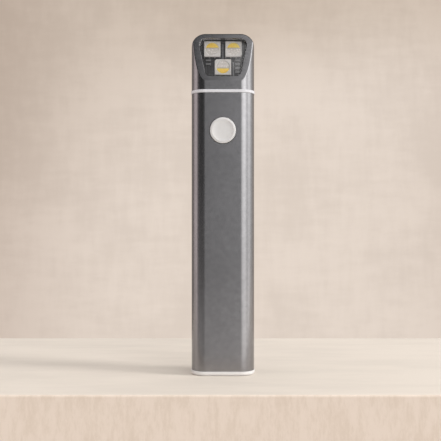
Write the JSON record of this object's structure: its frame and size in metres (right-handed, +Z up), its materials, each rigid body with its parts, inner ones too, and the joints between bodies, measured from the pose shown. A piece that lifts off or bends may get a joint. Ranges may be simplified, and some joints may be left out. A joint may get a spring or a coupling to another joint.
{
  "type": "light therapy wand",
  "caption": "Slim flat-sided hand-held wand with a push button on its front and a slanted window over light emitting packages at its head.",
  "frame": {"origin": "middle of the bounding box, on the surface that the wand stands on", "axes": "+Z up along the wand to its head, -Y out of the front with the button and the window, +X to the right when the front is looked at"},
  "size_m": [0.0194, 0.0106, 0.1032],
  "materials": {
    "grey_aluminium": "satin anodised, dark grey",
    "white_trim": "satin white",
    "white_button": "satin off-white",
    "clear_window": "clear and polished",
    "black_plastic": "satin black",
    "black_board": "black solder mask",
    "grey_pad": "matt",
    "plain_aluminium": "mill finish",
    "led_white": "white moulding",
    "phosphor": "yellow silicone",
    "clear_silicone": "clear silicone over a white cup",
    "tin": "tinned",
    "steel": "plain steel",
    "amber_film": "polyimide film",
    "cream_plastic": "cream nylon",
    "green_board": "green solder mask",
    "grey_plastic": "moulded dark grey",
    "chip_black": "moulded black",
    "ferrite": "sintered ferrite",
    "tan_ceramic": "fired ceramic",
    "pouch_foil": "laminated foil",
    "foam": "closed-cell foam",
    "red_wire": "red insulation",
    "black_wire": "black insulation"
  },
  "bodies": {
    "wand": {"sleeve": "grey_aluminium", "head_shell": "grey_aluminium", "neck_coupler": "white_trim", "base_cap": "white_trim", "window": "clear_window", "light_frame": "black_plastic", "led_board": "black_board", "thermal_pad": "grey_pad", "heat_spreader": "plain_aluminium", "led_package_left": "led_white", "led_package_right": "led_white", "led_package_lower": "led_white", "led_phosphor_left": "phosphor", "led_phosphor_right": "phosphor", "led_phosphor_lower": "phosphor", "led_clear_fill_left": "clear_silicone", "led_clear_fill_right": "clear_silicone", "led_clear_fill_lower": "clear_silicone", "led_resistor_right_1": "tin", "led_resistor_right_2": "tin", "led_resistor_right_3": "tin", "led_resistor_right_4": "tin", "led_resistor_left_1": "tin", "led_resistor_left_2": "tin", "led_flex": "amber_film", "flex_connector": "cream_plastic", "main_board": "green_board", "carrier_frame": "grey_plastic", "switch_body": "chip_black", "microcontroller": "chip_black", "led_driver_chip": "chip_black", "power_inductor": "ferrite", "driver_capacitor_left": "tan_ceramic", "driver_capacitor_right": "tan_ceramic", "charger_chip": "chip_black", "charger_capacitor": "tan_ceramic", "battery_connector": "cream_plastic", "battery_cell": "pouch_foil", "cell_foam_pad": "foam", "cell_guard_board": "amber_film", "battery_lead_red": "red_wire", "battery_lead_black": "black_wire", "socket_shell": "steel", "socket_tongue": "black_plastic", "board_screw_left": "steel", "board_screw_right": "steel", "neck_screw_left": "steel", "neck_screw_right": "steel", "base_screw_left": "steel", "base_screw_right": "steel"},
    "button": {"button_cap": "white_button"},
    "plunger": {"switch_plunger": "cream_plastic"}
  },
  "joints": [
    {"name": "button_press", "type": "slide", "parent": "wand", "child": "button", "axis": [0, 1, 0], "range_m": [0, 0.00035], "stiffness_N_per_m": 500},
    {"name": "plunger_press", "type": "slide", "parent": "wand", "child": "plunger", "axis": [0, 1, 0], "range_m": [0, 0.00035]}
  ],
  "couplings": [
    {"joint": "plunger_press", "follows": "button_press", "ratio": 1}
  ]
}
